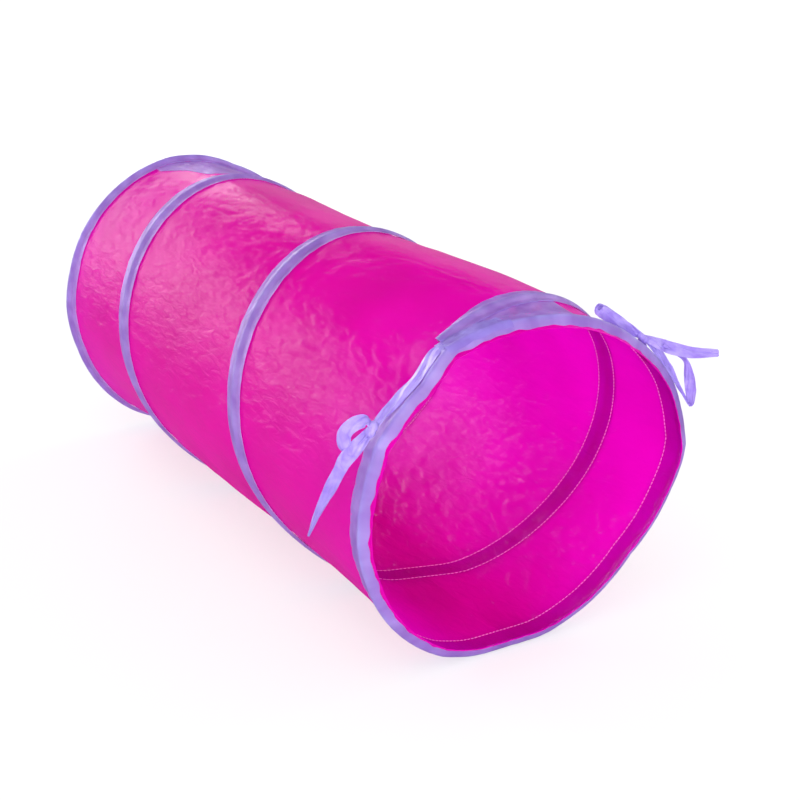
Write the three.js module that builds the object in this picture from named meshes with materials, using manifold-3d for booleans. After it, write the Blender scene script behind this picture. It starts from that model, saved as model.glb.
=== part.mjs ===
// A pop-up play tunnel for pets. One cloth tube is held open by a spring wire that winds
// along it in a sewn tape channel and by a wire ring in the binding round each end.
//
// Millimetres, +Z up. The tunnel lies along Y with its front opening facing -Y. The origin is
// the middle of the flat foot under the rear ring, on the floor. Angles run round the tunnel
// from +X over the top: 90 is the top, 180 the left side and 270 the floor.

import * as THREE from 'three';
import { mergeVertices } from 'three/addons/utils/BufferGeometryUtils.js';
import Module from 'manifold-3d';

const wasm = await Module();
wasm.setup();

// Cloth tube
const skinDiameter = 250; // outside of the cloth
const tunnelLength = 552.5; // rear edge to front edge, at the height of the centre line
const skinThickness = 0.6;
const frontLean = 6; // degrees that the front opening leans forward at its top

// Room between two layers that touch
const layerGap = 0.3;

// Spring wire, and the sleeve that joins the two ends of each ring
const wireDiameter = 1.8;
const sleeveWall = 0.4;
const sleeveLength = 14;
const ringEndGap = 2; // between the two ends of a ring, inside its sleeve
const wireSides = 6;
const sleeveSides = 8;
const rearSleeveFacet = 7;
const frontSleeveFacet = 11;

// Coil: the angles at which it starts, behind, and ends, in front
const coilStart = -12; // degrees
const coilEnd = 840; // degrees
const coilEndInset = 26; // from the edge of the cloth to the wire, at both ends
const tapeWidth = 20;
const tapeThickness = 0.6;

// Binding round each end
const ringInset = 6; // from the edge of the cloth to the ring wire
const bindingWidth = 20;
const bindingThickness = 0.6;
const clothPeek = 1.5; // cloth that shows beyond the binding

// A channel's walls lean out by this share of its radius
const channelFlareShare = 1;

// Sewing thread, inside the tube
const threadWidth = 0.7;
const threadThickness = 0.5;
const stitchInset = 1.5; // from a tape's edge to its row of stitches
const rowTrim = 10; // degrees by which a row stops short of the row of the rim

// Patches over the places where the coil comes to a rim: an angle, and the share of the room
// between the binding and the coil's tape that the patch fills there
const rearPatchShares = [[5, 1], [78, 1], [96, 0.78], [100, 0.42], [108, 0.12]];
const frontPatchShares = [[792, 1], [829, 1]];

// Ribbons tied in bows on the front rim
const ribbonWidth = 10;
const ribbonThickness = 0.6;
const leftKnotAngle = 151;
const rightKnotAngle = 45;
const knotLength = 12;
const knotHeight = 8;
const knotDepth = 9;
const knotSetbackShare = 0.3; // of the ribbon's width, by which a knot lies ahead of the lead
const knotSegments = 10;
const knotBands = 6;

const turn = 360;
const facetsPerTurn = 24;
const footMiddle = 270; // degrees
const footHalf = 12; // degrees
const facetStep = (turn - 2 * footHalf) / (facetsPerTurn - 1);
const firstCorner = footMiddle + footHalf;
const leastFacet = 0.5; // degrees

const radians = THREE.MathUtils.degToRad;
const degrees = THREE.MathUtils.radToDeg;

const skinRadius = skinDiameter / 2;
const wireRadius = wireDiameter / 2;
const sleeveBore = wireRadius + layerGap;
const sleeveRadius = sleeveBore + sleeveWall;
const ringHeight = layerGap + sleeveRadius; // of the ring wire's middle over the cloth
const coilHeight = layerGap + wireRadius;
const bindingCrown = ringHeight + sleeveRadius + layerGap + bindingThickness;
const bindingFlange = layerGap + bindingThickness;
const axisHeight = (skinRadius + bindingCrown) * Math.cos(radians(footHalf));

const bindingEdgeReach = ringInset - clothPeek; // from the ring to the binding's outer edge
const bindingReach = bindingWidth - bindingEdgeReach; // and to its inner edge
const rearEdge = ringInset;
const leanSlope = Math.tan(radians(frontLean));

// Distance from the centre line of the flat facet at this angle, as a share of the distance
// of its corners.
function facetShare(angle) {
  const past = THREE.MathUtils.euclideanModulo(angle - firstCorner, turn);
  const onFoot = past > turn - 2 * footHalf;
  const half = onFoot ? footHalf : facetStep / 2;
  const middle = onFoot ? turn - footHalf : (Math.floor(past / facetStep) + 0.5) * facetStep;
  return Math.cos(radians(half)) / Math.cos(radians(past - middle));
}

function place(angle, height, y) {
  const out = (skinRadius + height) * facetShare(angle);
  const bearing = radians(angle);
  return new THREE.Vector3(out * Math.cos(bearing), y, axisHeight + out * Math.sin(bearing));
}

// Both ends of a stretch and every corner of the facets between them.
function stations(from, to) {
  const list = [from];
  const firstTurn = Math.floor((from - firstCorner) / turn);
  const lastTurn = Math.floor((to - firstCorner) / turn);
  for (let round = firstTurn; round <= lastTurn; round += 1) {
    for (let facet = 0; facet < facetsPerTurn; facet += 1) {
      const corner = firstCorner + round * turn + facet * facetStep;
      if (corner > from + leastFacet && corner < to - leastFacet) list.push(corner);
    }
  }
  list.push(to);
  return list;
}

const wholeTurn = Array.from({ length: facetsPerTurn }, (_, facet) => (
  firstCorner + facet * facetStep
));

// Edge of the cloth and line of the ring wire at the front, which both lean forward.
function frontEdge(angle) {
  const rise = skinRadius * facetShare(angle) * Math.sin(radians(angle));
  return rearEdge - tunnelLength - leanSlope * rise;
}

function frontRing(angle) {
  return frontEdge(angle) + ringInset;
}

// Line of the coil wire: it falls back at a constant rate from one rim to the other.
const coilRearEnd = rearEdge - coilEndInset;
const coilFrontEnd = frontEdge(coilEnd) + coilEndInset;
const coilPitch = (coilRearEnd - coilFrontEnd) * turn / (coilEnd - coilStart);
const coilSlant = 1 / Math.cos(Math.atan(coilPitch / (Math.PI * skinDiameter)));

function coilLine(angle) {
  return coilRearEnd - coilPitch * (angle - coilStart) / turn;
}

// A closed body through rings of points, each with as many points as the outlines of its ends.
function bodyThrough(rings, outlines) {
  const count = rings[0].length;
  const points = rings.flat();
  const triangles = [];
  const spans = outlines ? rings.length - 1 : rings.length;
  for (let span = 0; span < spans; span += 1) {
    const here = span * count;
    const next = ((span + 1) % rings.length) * count;
    for (let side = 0; side < count; side += 1) {
      const after = (side + 1) % count;
      triangles.push([here + side, here + after, next + after]);
      triangles.push([here + side, next + after, next + side]);
    }
  }
  if (outlines) {
    const last = (rings.length - 1) * count;
    const firstCap = THREE.ShapeUtils.triangulateShape(outlines[0], []);
    const lastCap = THREE.ShapeUtils.triangulateShape(outlines[1], []);
    const turned = THREE.ShapeUtils.isClockWise(outlines[0]);
    firstCap.forEach(([a, b, c]) => triangles.push(turned ? [a, b, c] : [a, c, b]));
    lastCap.forEach(([a, b, c]) => (
      triangles.push(turned ? [last + a, last + c, last + b] : [last + a, last + b, last + c])
    ));
  }
  return facingOut(points, triangles);
}

function facingOut(points, triangles) {
  let volume = 0;
  for (const [a, b, c] of triangles) {
    volume += points[a].dot(new THREE.Vector3().crossVectors(points[b], points[c]));
  }
  const order = volume < 0 ? triangles.map(([a, b, c]) => [a, c, b]) : triangles;
  const geometry = new THREE.BufferGeometry().setFromPoints(points);
  geometry.setIndex(order.flat());
  geometry.computeVertexNormals();
  return geometry;
}

// A strip that runs round the tube. Its section gives [y, height over the cloth] at an angle.
function strip(angles, section) {
  const rings = angles.map((angle) => (
    section(angle).map(([y, height]) => place(angle, height, y))
  ));
  const ends = [angles[0], angles[angles.length - 1]];
  const outlines = ends.map((angle) => (
    section(angle).map(([y, height]) => new THREE.Vector2(y, height))
  ));
  return bodyThrough(rings, angles === wholeTurn ? null : outlines);
}

function flatSection(nearY, farY, bottom, top) {
  return [[nearY, bottom], [farY, bottom], [farY, top], [nearY, top]];
}

function wireSection(y, height, slant) {
  return Array.from({ length: wireSides }, (_, corner) => {
    const bearing = radians(corner * turn / wireSides);
    return [
      y + wireRadius * slant * Math.cos(bearing),
      height + wireRadius * Math.sin(bearing),
    ];
  });
}

// A tape sewn down on both sides of a wire, which it covers with a raised channel.
function channelSection(y, rearReach, frontReach, channel, thickness, slant) {
  const innerTop = (channel + layerGap) * slant;
  const innerFoot = innerTop + channel * channelFlareShare * slant;
  const outerTop = innerTop + thickness;
  const outerFoot = innerFoot + thickness;
  const bottom = layerGap;
  const flange = bottom + thickness;
  const innerCrown = bottom + 2 * channel + layerGap;
  const crown = innerCrown + thickness;
  return [
    [y + rearReach, bottom],
    [y + rearReach, flange],
    [y + outerFoot, flange],
    [y + outerTop, crown],
    [y - outerTop, crown],
    [y - outerFoot, flange],
    [y - frontReach, flange],
    [y - frontReach, bottom],
    [y - innerFoot, bottom],
    [y - innerTop, innerCrown],
    [y + innerTop, innerCrown],
    [y + innerFoot, bottom],
  ];
}

function threadSection(y, slant) {
  const half = threadWidth * slant / 2;
  const top = -skinThickness - layerGap;
  return flatSection(y + half, y - half, top - threadThickness, top);
}

const clothMaterial = new THREE.MeshStandardMaterial({ color: 0xdc0096, roughness: 0.42 });
const tapeMaterial = new THREE.MeshStandardMaterial({ color: 0x9f8ae0, roughness: 0.5 });
const ribbonMaterial = new THREE.MeshStandardMaterial({ color: 0xb3a2ec, roughness: 0.4 });
const threadMaterial = new THREE.MeshStandardMaterial({ color: 0xf08ad0, roughness: 0.7 });
const wireMaterial = new THREE.MeshStandardMaterial({
  color: 0x8f9499,
  roughness: 0.35,
  metalness: 1,
});

const tunnel = new THREE.Group();

function add(name, geometry, material) {
  const mesh = new THREE.Mesh(geometry, material.clone());
  mesh.name = name;
  tunnel.add(mesh);
  return mesh;
}

// Cloth tube
add('tunnel_skin', strip(wholeTurn, (angle) => (
  flatSection(rearEdge, frontEdge(angle), -skinThickness, 0)
)), clothMaterial);

// Coil: the wire, the tape over it and the two rows of stitches that hold the tape
const coilStations = stations(coilStart, coilEnd);
add('coil_wire', strip(coilStations, (angle) => (
  wireSection(coilLine(angle), coilHeight, coilSlant)
)), wireMaterial);

const tapeReach = tapeWidth * coilSlant / 2;

// The tape is trimmed where it comes to the binding of a rim.
function tapeRearReach(angle) {
  return Math.min(tapeReach, -bindingReach - layerGap - coilLine(angle));
}

function tapeFrontReach(angle) {
  return Math.min(tapeReach, coilLine(angle) - frontRing(angle) - bindingReach - layerGap);
}

add('coil_tape', strip(coilStations, (angle) => channelSection(
  coilLine(angle),
  tapeRearReach(angle),
  tapeFrontReach(angle),
  wireRadius,
  tapeThickness,
  coilSlant,
)), tapeMaterial);

const rowReach = (tapeWidth / 2 - stitchInset) * coilSlant;
add('coil_stitches_rear_row', strip(stations(coilStart + rowTrim, coilEnd), (angle) => (
  threadSection(coilLine(angle) + rowReach, coilSlant)
)), threadMaterial);
add('coil_stitches_front_row', strip(stations(coilStart, coilEnd - rowTrim), (angle) => (
  threadSection(coilLine(angle) - rowReach, coilSlant)
)), threadMaterial);

// Rims: a ring of wire whose ends meet in a sleeve, the binding over it and its stitches
function addRim(end, ringLine, forward, sleeveFacet) {
  const joint = firstCorner + (sleeveFacet + 0.5) * facetStep;
  const half = degrees(ringEndGap / 2 / skinRadius);
  add(`${end}_ring_wire`, strip(stations(joint + half, joint + turn - half), (angle) => (
    wireSection(ringLine(angle), ringHeight, 1)
  )), wireMaterial);

  const sleeve = add(`${end}_wire_sleeve`, new THREE.LatheGeometry([
    new THREE.Vector2(sleeveBore, -sleeveLength / 2),
    new THREE.Vector2(sleeveRadius, -sleeveLength / 2),
    new THREE.Vector2(sleeveRadius, sleeveLength / 2),
    new THREE.Vector2(sleeveBore, sleeveLength / 2),
    new THREE.Vector2(sleeveBore, -sleeveLength / 2),
  ], sleeveSides), wireMaterial);
  const before = place(joint - half, ringHeight, ringLine(joint - half));
  const after = place(joint + half, ringHeight, ringLine(joint + half));
  sleeve.position.copy(before).lerp(after, 0.5);
  sleeve.quaternion.setFromUnitVectors(
    new THREE.Vector3(0, 1, 0),
    after.clone().sub(before).normalize(),
  );

  const rearReach = forward ? bindingReach : bindingEdgeReach;
  const frontReach = forward ? bindingEdgeReach : bindingReach;
  add(`${end}_rim_binding`, strip(wholeTurn, (angle) => channelSection(
    ringLine(angle),
    rearReach,
    frontReach,
    sleeveRadius,
    bindingThickness,
    1,
  )), tapeMaterial);

  const inward = (bindingReach - stitchInset) * (forward ? 1 : -1);
  add(`${end}_rim_stitches`, strip(wholeTurn, (angle) => (
    threadSection(ringLine(angle) + inward, 1)
  )), threadMaterial);
}

addRim('rear', () => 0, false, rearSleeveFacet);
addRim('front', frontRing, true, frontSleeveFacet);

// Patches between a rim's binding and the tape of the coil
function shareAt(shares, angle) {
  const after = shares.findIndex(([end]) => end >= angle);
  if (after <= 0) return shares[0][1];
  const [fromAngle, fromShare] = shares[after - 1];
  const [toAngle, toShare] = shares[after];
  return THREE.MathUtils.mapLinear(angle, fromAngle, toAngle, fromShare, toShare);
}

function patch(shares, nearLine, farLine) {
  const angles = shares.slice(1).flatMap(([end], index) => (
    stations(shares[index][0], end).slice(index === 0 ? 0 : 1)
  ));
  return strip(angles, (angle) => {
    const near = nearLine(angle);
    const far = THREE.MathUtils.lerp(near, farLine(angle), shareAt(shares, angle));
    return flatSection(near, far, layerGap, layerGap + tapeThickness);
  });
}

add('rear_joint_patch', patch(
  rearPatchShares,
  () => -bindingReach - layerGap,
  (angle) => coilLine(angle) + tapeRearReach(angle) + layerGap,
), tapeMaterial);
add('front_joint_patch', patch(
  frontPatchShares,
  (angle) => frontRing(angle) + bindingReach + layerGap,
  (angle) => coilLine(angle) - tapeFrontReach(angle) - layerGap,
), tapeMaterial);

// Bows. A row of a ribbon's route holds how far it lies along the rim from the knot, out from
// the binding and back from the lead's place, all in widths of the ribbon, then the angle in
// degrees by which its face turns and the width there. A tack lies on the binding's flange.
const leadInset = ringInset + bindingEdgeReach + ribbonWidth / 2;
const tackHeight = bindingFlange + layerGap + ribbonThickness / 2;
const routeHeight = bindingCrown + layerGap + ribbonThickness / 2;

const leftLeadShares = [
  [-4.9, -1, 0.05, 0, 0.95],
  [-4.1, -1, 0.05, 0, 0.95],
  [-3.2, 0.05, 0.05, 0, 0.95],
  [-1.6, 0.08, 0, 0, 0.8],
  [0, 0.4, -0.3, 0, 0.5],
];
const leftLoopShares = [
  [0, 0.4, -0.3, 20, 0.5],
  [-0.3, 1.25, 0, 20, 0.9],
  [0.3, 2, 0.2, 10, 1],
  [1.2, 2.1, 0.3, 0, 1],
  [1.9, 1.4, 0.3, -10, 1],
  [1.6, 0.7, 0.1, -20, 0.8],
  [0.2, 0.4, -0.3, -20, 0.5],
];
const leftTailShares = [
  [0, 0.4, -0.3, 0, 0.5],
  [1.1, 0.6, -0.3, 15, 1],
  [2.1, 1.1, 0, 35, 1.1],
  [2.8, 1.2, 0.2, 50, 0.6],
  [3.8, 1.3, 0.5, 60, 1],
  [5.9, 1.2, 1.8, 70, 0.7],
  [8, 1.4, 3.1, 80, 0.15],
];
const rightLeadShares = [
  [-2.2, -1, 0.05, 0, 0.95],
  [-1.4, -1, 0.05, 0, 0.95],
  [-0.5, 0.1, 0, 0, 0.8],
  [0, 0.35, -0.2, 0, 0.4],
];
const rightLoopShares = [
  [0, 0.35, -0.2, 70, 0.4],
  [1.3, 0.55, 0.1, 80, 0.85],
  [2.8, 0.6, 0.4, 85, 0.95],
  [3.9, 0.65, 0.7, 85, 1],
  [4.1, 0.75, 1, 80, 0.9],
  [3.1, 0.85, 1.1, 70, 0.8],
  [1.6, 0.75, 0.8, 50, 0.6],
  [0.2, 0.4, -0.1, 60, 0.4],
];
const rightTailShares = [
  [0, 0.35, -0.2, 60, 0.4],
  [-1.3, 0.7, -0.6, 60, 0.9],
  [-2.2, 1, -0.9, 60, 1.1],
  [-3.9, 2, -1.2, 65, 0.85],
  [-6.2, 3.6, -1.4, 70, 0.75],
];
const rightSlingShares = [
  [0, 0.35, -0.2, 50, 0.4],
  [-2, 0.45, -0.3, 60, 0.9],
  [-4, 0.45, -0.4, 70, 0.8],
  [-5.4, 0.45, -0.5, 80, 0.5],
  [-6.7, 0.7, -1.1, 60, 0.35],
  [-5.3, 0.95, -1.4, 40, 0.9],
  [-4.3, 1.1, -1.4, 30, 0.9],
  [-3, 1.1, -1.3, 40, 0.5],
  [-1.4, 0.7, -0.7, 50, 0.4],
];
const stepsPerRow = 2;

function routePoint(knotAngle, [along, out, back]) {
  const angle = knotAngle + degrees(along * ribbonWidth / skinRadius);
  const height = out < 0 ? tackHeight : routeHeight + out * ribbonWidth;
  return place(angle, height, frontEdge(angle) + leadInset + back * ribbonWidth);
}

function ribbon(knotAngle, shares) {
  const route = new THREE.CatmullRomCurve3(shares.map((row) => routePoint(knotAngle, row)));
  const steps = (shares.length - 1) * stepsPerRow;
  const rings = [];
  for (let step = 0; step <= steps; step += 1) {
    const row = Math.min(Math.floor(step / stepsPerRow), shares.length - 2);
    const within = step / stepsPerRow - row;
    const faceTurn = THREE.MathUtils.lerp(shares[row][3], shares[row + 1][3], within);
    const widthShare = THREE.MathUtils.lerp(shares[row][4], shares[row + 1][4], within);
    const middle = route.getPoint(step / steps);
    const tangent = route.getTangent(step / steps);
    const side = new THREE.Vector3(0, 1, 0).addScaledVector(tangent, -tangent.y).normalize();
    side.applyAxisAngle(tangent, radians(faceTurn));
    const face = new THREE.Vector3().crossVectors(tangent, side);
    const half = widthShare * ribbonWidth / 2;
    const thick = ribbonThickness / 2;
    rings.push([[1, 1], [-1, 1], [-1, -1], [1, -1]].map(([across, over]) => (
      middle.clone().addScaledVector(side, across * half).addScaledVector(face, over * thick)
    )));
  }
  const outline = [[1, 1], [-1, 1], [-1, -1], [1, -1]].map(([x, y]) => new THREE.Vector2(x, y));
  return bodyThrough(rings, [outline, outline]);
}

function knot(knotAngle) {
  const geometry = new THREE.SphereGeometry(1, knotSegments, knotBands);
  geometry.scale(knotLength / 2, knotDepth / 2, knotHeight / 2);
  geometry.rotateY(-radians(knotAngle - 90));
  const height = bindingCrown + layerGap + knotHeight / 2;
  const y = frontEdge(knotAngle) + leadInset - knotSetbackShare * ribbonWidth;
  const middle = place(knotAngle, height, y);
  geometry.translate(middle.x, middle.y, middle.z);
  return geometry;
}

function toSolid(geometry) {
  geometry.deleteAttribute('normal');
  geometry.deleteAttribute('uv');
  const merged = mergeVertices(geometry);
  return new wasm.Manifold(new wasm.Mesh({
    numProp: 3,
    vertProperties: new Float32Array(merged.attributes.position.array),
    triVerts: new Uint32Array(merged.index.array),
  }));
}

function joined(geometries) {
  const mesh = geometries.map(toSolid).reduce((whole, piece) => whole.add(piece)).getMesh();
  const geometry = new THREE.BufferGeometry();
  geometry.setAttribute('position', new THREE.BufferAttribute(mesh.vertProperties, 3));
  geometry.setIndex(new THREE.BufferAttribute(mesh.triVerts, 1));
  geometry.computeVertexNormals();
  return geometry;
}

add('left_tie', joined([
  knot(leftKnotAngle),
  ribbon(leftKnotAngle, leftLeadShares),
  ribbon(leftKnotAngle, leftLoopShares),
  ribbon(leftKnotAngle, leftTailShares),
]), ribbonMaterial);
add('right_tie', joined([
  knot(rightKnotAngle),
  ribbon(rightKnotAngle, rightLeadShares),
  ribbon(rightKnotAngle, rightLoopShares),
  ribbon(rightKnotAngle, rightTailShares),
  ribbon(rightKnotAngle, rightSlingShares),
]), ribbonMaterial);

// Least gap between two turns of the coil wire, on points of its middle line
const wirePoints = coilStations.map((angle) => place(angle, coilHeight, coilLine(angle)));
let leastGap = Infinity;
wirePoints.forEach((point, index) => {
  wirePoints.forEach((other, otherIndex) => {
    if (coilStations[otherIndex] - coilStations[index] < turn / 2) return;
    leastGap = Math.min(leastGap, point.distanceTo(other) - wireDiameter);
  });
});
console.log(`coil wire: least gap between turns ${leastGap.toFixed(1)} mm`);

export default tunnel;
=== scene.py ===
import math

import bpy
import numpy as np
from mathutils import Matrix, Vector, noise


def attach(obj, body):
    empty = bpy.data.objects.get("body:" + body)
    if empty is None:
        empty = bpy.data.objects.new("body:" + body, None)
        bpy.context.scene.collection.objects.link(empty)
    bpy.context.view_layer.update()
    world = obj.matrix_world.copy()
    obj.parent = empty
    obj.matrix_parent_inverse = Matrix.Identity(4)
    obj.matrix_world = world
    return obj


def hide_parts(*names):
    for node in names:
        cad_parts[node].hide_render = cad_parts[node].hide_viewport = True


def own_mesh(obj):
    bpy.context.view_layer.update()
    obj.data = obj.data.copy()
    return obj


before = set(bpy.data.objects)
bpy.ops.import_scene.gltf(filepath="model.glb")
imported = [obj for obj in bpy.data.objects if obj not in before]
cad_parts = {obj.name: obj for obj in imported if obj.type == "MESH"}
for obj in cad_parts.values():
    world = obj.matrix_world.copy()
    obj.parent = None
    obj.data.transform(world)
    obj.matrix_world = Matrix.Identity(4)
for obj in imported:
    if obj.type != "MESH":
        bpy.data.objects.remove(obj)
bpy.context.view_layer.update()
print("frame: loaded", len(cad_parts), "solids")

# Angles are in degrees round the tunnel: 0 right, 90 top, 180 left, 270 floor.
# Lengths are in metres, and heights are measured out from the plain cloth tube.
tunnel = {
    "radius": 0.125,
    "axisHeight": 0.12657,
    "length": 0.5525,
    "rearEdge": 0.006,  # of the cloth, behind the rear ring
    "lean": math.tan(math.radians(6)),  # of the front opening
    "footMiddle": 270,
    "footHalf": 12.5,
    "footSoftening": (-3, -1.5, 0, 1.5, 3),  # degrees over which the foot's corners are rounded
    "ringInset": 0.006,  # from the cloth's edge to a rim's wire
    "drawnIn": 0.0045,  # the front hem's edge, gathered in by its stitches
    "hemStart": 0.001,  # in front of the ring, where the hem begins to draw in
    "coilStart": -12,
    "coilEnd": 840,
    "coilInset": 0.026,  # from the cloth's edges to the ends of the coil
    "travel": 0.48,  # of the front end, when the tunnel is folded
}

# How far the cloth stands off the plain tube, in millimetres: round the two rims by the angle,
# and along two of its sides by the distance in front of the rear ring. Reaches are in metres,
# and spreads in degrees.
swell = {
    "frontRim": [
        (2, 7.9), (7, 5.7), (13, 3.9), (18, 2.6), (24, 1.5), (31, -0.7), (39, -2.9),
        (50, -5.2), (65, -5.7), (78, -5.3), (90, -4.2), (100, -2), (115, 2.9), (122, 5.3),
        (128, 1.7), (133, -1.4), (150, 1.2), (155, 2.8), (159, 1), (170, 0), (188, 0),
        (200, -1), (213, 0), (233, 1.5), (244, 2.4), (256, 0.3), (269, 0), (282, -1.5),
        (302, -1.6), (322, -3.5), (334, 0), (346, 3.1), (351, 5.1), (357, 7.4),
    ],
    "frontReach": 0.05,
    "rearRim": [
        (20, 0), (40, -5), (55, -9.5), (70, -9), (85, -4), (100, -0.5), (115, 0), (150, 0),
        (164, -1), (180, 0), (198, -1.1), (223, 1), (236, 1.5), (260, 0),
    ],
    "rearReach": 0.04,
    "upperSide": [
        (0, 0), (30, -6), (48, -7.3), (66, -8), (84, -7.7), (120, -6.5), (155, -6.8),
        (191, -7.4), (235, -7.4), (280, -6.7), (298, -5.9), (333, -4.2), (351, -3),
        (387, -1.5), (423, -0.2), (440, 0), (560, 0),
    ],
    "upperAngle": 62,
    "upperSpread": 34,
    "lowerSide": [
        (0, 0), (48, -4), (84, -6.5), (102, -5.7), (137, -3.4), (173, -2), (226, -1.4),
        (300, -2), (351, -3.6), (369, -3.9), (405, -3), (440, -3.2), (500, -2), (530, 0),
        (560, 0),
    ],
    "lowerAngle": 223,
    "lowerSpread": 22,
    "farAngle": 317,
    "farShare": 0.5,  # of the lower side's swell, on the side away from it
    "footSpread": 15,
}

milli = 0.001


def apart(angle, middle):  # degrees between two directions, at most half a turn
    return np.abs((np.asarray(angle) - middle + 180) % 360 - 180)


def bell(distance, spread):
    return np.exp(-((distance / spread) ** 2))


def ease(value, low, high):  # 0 up to low, 1 from high, smooth in between
    share = np.clip((value - low) / (high - low), 0, 1)
    return share * share * (3 - 2 * share)


def onTable(table, key, period=None):
    keys, values = zip(*table)
    return np.interp(key, keys, values, period=period) * milli


def frontEdge(angle):
    rise = tunnel["radius"] * np.sin(np.radians(angle))
    return tunnel["rearEdge"] - tunnel["length"] - tunnel["lean"] * rise


def frontRing(angle):
    return frontEdge(angle) + tunnel["ringInset"]


def rearRing(angle):
    return np.zeros_like(np.asarray(angle, float))


coilTurns = (tunnel["coilEnd"] - tunnel["coilStart"]) / 360
coilRearEnd = tunnel["rearEdge"] - tunnel["coilInset"]
coilFrontEnd = frontEdge(tunnel["coilEnd"]) + tunnel["coilInset"]
coilPitch = (coilRearEnd - coilFrontEnd) / coilTurns
coilSlant = 1 / math.cos(math.atan(coilPitch / (2 * math.pi * tunnel["radius"])))


def coilLine(angle):
    return coilRearEnd - coilPitch * (np.asarray(angle) - tunnel["coilStart"]) / 360


def swellAt(angle, y):
    front = bell(y - frontEdge(angle), swell["frontReach"])
    rear = bell(y - tunnel["rearEdge"], swell["rearReach"])
    upper = onTable(swell["upperSide"], -y / milli) * bell(
        apart(angle, swell["upperAngle"]), swell["upperSpread"])
    lower = onTable(swell["lowerSide"], -y / milli) * (
        bell(apart(angle, swell["lowerAngle"]), swell["lowerSpread"])
        + swell["farShare"] * bell(apart(angle, swell["farAngle"]), swell["lowerSpread"]))
    rims = (front * onTable(swell["frontRim"], angle, 360)
            + rear * onTable(swell["rearRim"], angle, 360))
    whole = rims + (1 - front) * (upper + lower)
    return whole * (1 - bell(apart(angle, tunnel["footMiddle"]), swell["footSpread"]))


def footShare(angle):  # the tunnel stands on a flat foot with softened corners
    shares = []
    for aside in tunnel["footSoftening"]:
        past = apart(np.asarray(angle) + aside, tunnel["footMiddle"])
        within = np.cos(np.radians(np.minimum(past, tunnel["footHalf"])))
        shares.append(math.cos(math.radians(tunnel["footHalf"])) / within)
    return np.mean(shares, axis=0)


def tubePoint(angle, y, height):
    hem = ease(frontRing(angle) - y, tunnel["hemStart"], tunnel["ringInset"])
    out = ((tunnel["radius"] + height) * footShare(angle) + swellAt(angle, y)
           - tunnel["drawnIn"] * hem)
    bearing = np.radians(angle)
    return np.stack([out * np.cos(bearing), y + 0 * out,
                     tunnel["axisHeight"] + out * np.sin(bearing)], axis=-1)


def degreesAlong(length):
    return np.degrees(length / tunnel["radius"])


def arcOf(turn):
    return math.radians(turn) * tunnel["radius"]


camera = {
    "location": (-0.5847, -1.3732, 0.5699),
    "azimuth": -30.326,
    "elevation": 20.5725,
    "lens": 74.03,
    "sensor": 36,
    "farthest": 50,
}


def makeCamera():
    bpy.ops.object.camera_add(location=camera["location"])
    viewer = bpy.context.object
    viewer.name = "photoCamera"
    azimuth, elevation = (math.radians(camera[key]) for key in ("azimuth", "elevation"))
    back = Vector((math.sin(azimuth) * math.cos(elevation),
                   -math.cos(azimuth) * math.cos(elevation), math.sin(elevation)))
    viewer.rotation_euler = (-back).to_track_quat("-Z", "Y").to_euler()
    viewer.data.lens = camera["lens"]
    viewer.data.sensor_width = camera["sensor"]
    viewer.data.clip_end = camera["farthest"]
    bpy.context.scene.camera = viewer


makeCamera()
print("camera: placed")


def points(piece):
    flat = np.empty(len(piece.data.vertices) * 3)
    piece.data.vertices.foreach_get("co", flat)
    return flat.reshape(-1, 3)


def movePoints(piece, places):
    piece.data.vertices.foreach_set("co", np.asarray(places, float).ravel())
    piece.data.update()


def choose(*pieces):
    bpy.ops.object.select_all(action="DESELECT")
    for piece in pieces:
        piece.select_set(True)
    bpy.context.view_layer.objects.active = pieces[0]


def named(name):
    piece = bpy.context.object
    piece.name = piece.data.name = name
    return piece


def flatStrip(name, length, width, columns, rows):  # from x = 0, with its middle on y = 0
    bpy.ops.object.select_all(action="DESELECT")
    bpy.ops.mesh.primitive_grid_add(x_subdivisions=columns, y_subdivisions=rows, size=1)
    piece = named(name)
    bpy.ops.object.mode_set(mode="EDIT")
    bpy.ops.mesh.select_all(action="SELECT")
    bpy.ops.transform.resize(value=(length, width, 1))
    bpy.ops.transform.translate(value=(length / 2, 0, 0))
    bpy.ops.object.mode_set(mode="OBJECT")
    keepFlatMap(piece)
    return piece


def keepFlatMap(piece):  # the cut's own metres, which the weave follows
    mesh = piece.data
    layer = mesh.uv_layers.active or mesh.uv_layers.new()
    layer.name = "flat"
    corners = np.empty(len(mesh.loops), int)
    mesh.loops.foreach_get("vertex_index", corners)
    layer.data.foreach_set("uv", points(piece)[corners][:, :2].ravel())


def closeSeam(piece):
    choose(piece)
    bpy.ops.object.mode_set(mode="EDIT")
    bpy.ops.mesh.select_all(action="SELECT")
    bpy.ops.mesh.remove_doubles(threshold=1e-5)
    bpy.ops.mesh.normals_make_consistent(inside=False)
    bpy.ops.object.mode_set(mode="OBJECT")


def thicken(piece, thickness, offset=-1):
    choose(piece)
    wall = piece.modifiers.new("wall", "SOLIDIFY")
    wall.thickness = thickness
    wall.offset = offset
    bpy.ops.object.modifier_apply(modifier=wall.name)


def smooth(piece, angle=50):
    choose(piece)
    bpy.ops.object.shade_smooth_by_angle(angle=math.radians(angle))


def waves(place, periods, seed):  # a ripple of several periods, from -1 to 1
    phases = np.random.default_rng(seed).uniform(0, 2 * math.pi, len(periods))
    ripple = sum(np.sin(2 * math.pi * place / period + phase)
                 for period, phase in zip(periods, phases))
    return ripple / len(periods)


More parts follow.
